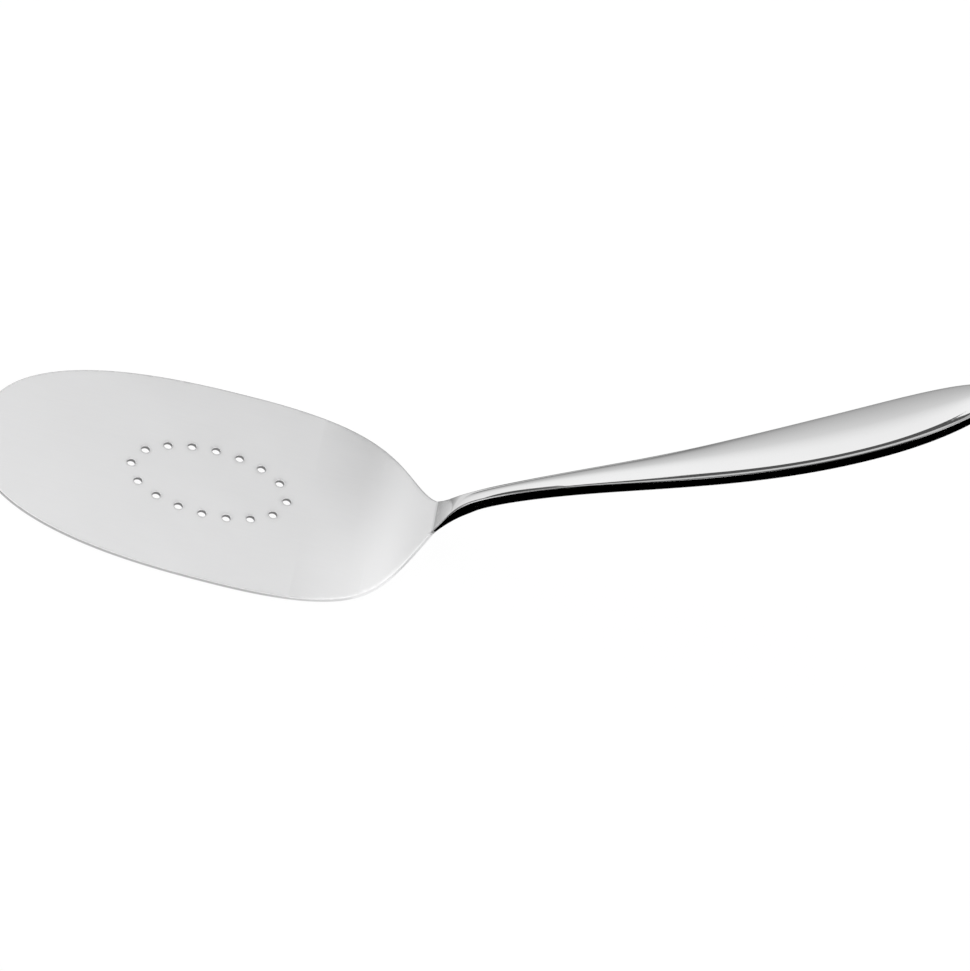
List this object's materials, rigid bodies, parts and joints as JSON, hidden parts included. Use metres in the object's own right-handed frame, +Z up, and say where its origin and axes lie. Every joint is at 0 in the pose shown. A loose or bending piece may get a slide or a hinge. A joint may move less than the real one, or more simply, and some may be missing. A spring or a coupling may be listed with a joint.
{
  "type": "fish server",
  "caption": "Serving slice with a broad flat oval blade pierced by a ring of drain holes, a turned-up heel and a slim polished handle that rises and swells to a rounded end.",
  "frame": {"origin": "on the flat underside of the blade, at the centre of the ring of drain holes", "axes": "+X along the blade towards the handle, +Z up out of the blade's top face, mirror plane at Y = 0"},
  "size_m": [0.2779, 0.0748, 0.1208],
  "materials": {
    "satin_steel": "fine satin, brushed along the blade",
    "ground_weld": "ground flush and buffed",
    "polished_steel": "mirror polished stainless steel"
  },
  "bodies": {
    "root": {"blade": "satin_steel", "neck_weld": "ground_weld", "handle": "polished_steel"}
  },
  "joints": []
}
